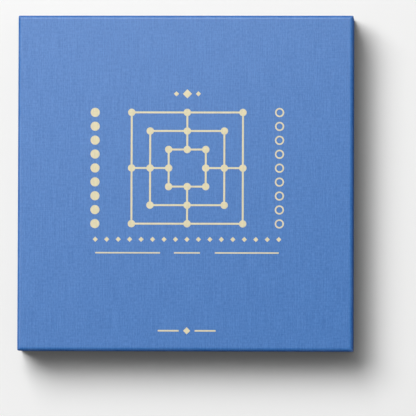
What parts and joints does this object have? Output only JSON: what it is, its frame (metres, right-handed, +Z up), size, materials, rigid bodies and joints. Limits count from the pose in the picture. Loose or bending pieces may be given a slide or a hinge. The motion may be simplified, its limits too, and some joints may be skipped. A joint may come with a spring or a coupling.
{
  "type": "board game box",
  "caption": "Square paper-wrapped game box with a full-depth lift-off lid; its foam insert holds a wooden mill board, turned wooden men and the folded rules.",
  "frame": {"origin": "on the table, under the middle of the closed box", "axes": "+Z up out of the lid, +X to the right and +Y to the back as the lid is read"},
  "size_m": [0.23, 0.23, 0.036],
  "materials": {
    "wrap_paper": "matt linen-embossed",
    "liner_paper": "matt",
    "stay_paper": "matt kraft",
    "greyboard": "matt",
    "flocked_foam": "matt flocked",
    "felt": "matt felt",
    "beech": "satin oiled",
    "stained_beech": "satin stained",
    "leaflet_paper": "matt"
  },
  "bodies": {
    "base": {"base_wrap": "wrap_paper", "base_greyboard": "greyboard", "base_corner_stays": "stay_paper", "base_liner": "liner_paper", "insert_base_pad": "flocked_foam", "insert_pocket_layer": "flocked_foam", "insert_top_layer": "flocked_foam"},
    "lid": {"lid_wrap": "wrap_paper", "lid_greyboard": "greyboard", "lid_corner_stays": "stay_paper", "lid_liner": "liner_paper"},
    "board": {"game_board": "beech", "board_felt": "felt"},
    "leaflet": {"rules_leaflet": "leaflet_paper"},
    "light_man_1_body": {"light_man_1": "beech"},
    "light_man_2_body": {"light_man_2": "beech"},
    "light_man_3_body": {"light_man_3": "beech"},
    "light_man_4_body": {"light_man_4": "beech"},
    "light_man_5_body": {"light_man_5": "beech"},
    "light_man_6_body": {"light_man_6": "beech"},
    "light_man_7_body": {"light_man_7": "beech"},
    "light_man_8_body": {"light_man_8": "beech"},
    "light_man_9_body": {"light_man_9": "beech"},
    "dark_man_1_body": {"dark_man_1": "stained_beech"},
    "dark_man_2_body": {"dark_man_2": "stained_beech"},
    "dark_man_3_body": {"dark_man_3": "stained_beech"},
    "dark_man_4_body": {"dark_man_4": "stained_beech"},
    "dark_man_5_body": {"dark_man_5": "stained_beech"},
    "dark_man_6_body": {"dark_man_6": "stained_beech"},
    "dark_man_7_body": {"dark_man_7": "stained_beech"},
    "dark_man_8_body": {"dark_man_8": "stained_beech"},
    "dark_man_9_body": {"dark_man_9": "stained_beech"}
  },
  "joints": [
    {"name": "lid_lift", "type": "slide", "parent": "base", "child": "lid", "axis": [0, 0, 1], "range_m": [0, 0.15]},
    {"name": "leaflet_lift", "type": "slide", "parent": "base", "child": "leaflet", "axis": [0, 0, 1], "range_m": [0, 0.03]},
    {"name": "board_lift", "type": "slide", "parent": "base", "child": "board", "axis": [0, 0, 1], "range_m": [0, 0.045]},
    {"name": "light_man_1_lift", "type": "slide", "parent": "base", "child": "light_man_1_body", "axis": [0, 0, 1], "range_m": [0, 0.0675]},
    {"name": "light_man_2_lift", "type": "slide", "parent": "base", "child": "light_man_2_body", "axis": [0, 0, 1], "range_m": [0, 0.0675]},
    {"name": "light_man_3_lift", "type": "slide", "parent": "base", "child": "light_man_3_body", "axis": [0, 0, 1], "range_m": [0, 0.0675]},
    {"name": "light_man_4_lift", "type": "slide", "parent": "base", "child": "light_man_4_body", "axis": [0, 0, 1], "range_m": [0, 0.0675]},
    {"name": "light_man_5_lift", "type": "slide", "parent": "base", "child": "light_man_5_body", "axis": [0, 0, 1], "range_m": [0, 0.0675]},
    {"name": "light_man_6_lift", "type": "slide", "parent": "base", "child": "light_man_6_body", "axis": [0, 0, 1], "range_m": [0, 0.0675]},
    {"name": "light_man_7_lift", "type": "slide", "parent": "base", "child": "light_man_7_body", "axis": [0, 0, 1], "range_m": [0, 0.0675]},
    {"name": "light_man_8_lift", "type": "slide", "parent": "base", "child": "light_man_8_body", "axis": [0, 0, 1], "range_m": [0, 0.0675]},
    {"name": "light_man_9_lift", "type": "slide", "parent": "base", "child": "light_man_9_body", "axis": [0, 0, 1], "range_m": [0, 0.0675]},
    {"name": "dark_man_1_lift", "type": "slide", "parent": "base", "child": "dark_man_1_body", "axis": [0, 0, 1], "range_m": [0, 0.0675]},
    {"name": "dark_man_2_lift", "type": "slide", "parent": "base", "child": "dark_man_2_body", "axis": [0, 0, 1], "range_m": [0, 0.0675]},
    {"name": "dark_man_3_lift", "type": "slide", "parent": "base", "child": "dark_man_3_body", "axis": [0, 0, 1], "range_m": [0, 0.0675]},
    {"name": "dark_man_4_lift", "type": "slide", "parent": "base", "child": "dark_man_4_body", "axis": [0, 0, 1], "range_m": [0, 0.0675]},
    {"name": "dark_man_5_lift", "type": "slide", "parent": "base", "child": "dark_man_5_body", "axis": [0, 0, 1], "range_m": [0, 0.0675]},
    {"name": "dark_man_6_lift", "type": "slide", "parent": "base", "child": "dark_man_6_body", "axis": [0, 0, 1], "range_m": [0, 0.0675]},
    {"name": "dark_man_7_lift", "type": "slide", "parent": "base", "child": "dark_man_7_body", "axis": [0, 0, 1], "range_m": [0, 0.0675]},
    {"name": "dark_man_8_lift", "type": "slide", "parent": "base", "child": "dark_man_8_body", "axis": [0, 0, 1], "range_m": [0, 0.0675]},
    {"name": "dark_man_9_lift", "type": "slide", "parent": "base", "child": "dark_man_9_body", "axis": [0, 0, 1], "range_m": [0, 0.0675]}
  ],
  "couplings": [
    {"joint": "leaflet_lift", "follows": "lid_lift", "ratio": 0.2},
    {"joint": "board_lift", "follows": "lid_lift", "ratio": 0.3},
    {"joint": "light_man_1_lift", "follows": "lid_lift", "ratio": 0.45},
    {"joint": "light_man_2_lift", "follows": "lid_lift", "ratio": 0.45},
    {"joint": "light_man_3_lift", "follows": "lid_lift", "ratio": 0.45},
    {"joint": "light_man_4_lift", "follows": "lid_lift", "ratio": 0.45},
    {"joint": "light_man_5_lift", "follows": "lid_lift", "ratio": 0.45},
    {"joint": "light_man_6_lift", "follows": "lid_lift", "ratio": 0.45},
    {"joint": "light_man_7_lift", "follows": "lid_lift", "ratio": 0.45},
    {"joint": "light_man_8_lift", "follows": "lid_lift", "ratio": 0.45},
    {"joint": "light_man_9_lift", "follows": "lid_lift", "ratio": 0.45},
    {"joint": "dark_man_1_lift", "follows": "lid_lift", "ratio": 0.45},
    {"joint": "dark_man_2_lift", "follows": "lid_lift", "ratio": 0.45},
    {"joint": "dark_man_3_lift", "follows": "lid_lift", "ratio": 0.45},
    {"joint": "dark_man_4_lift", "follows": "lid_lift", "ratio": 0.45},
    {"joint": "dark_man_5_lift", "follows": "lid_lift", "ratio": 0.45},
    {"joint": "dark_man_6_lift", "follows": "lid_lift", "ratio": 0.45},
    {"joint": "dark_man_7_lift", "follows": "lid_lift", "ratio": 0.45},
    {"joint": "dark_man_8_lift", "follows": "lid_lift", "ratio": 0.45},
    {"joint": "dark_man_9_lift", "follows": "lid_lift", "ratio": 0.45}
  ]
}
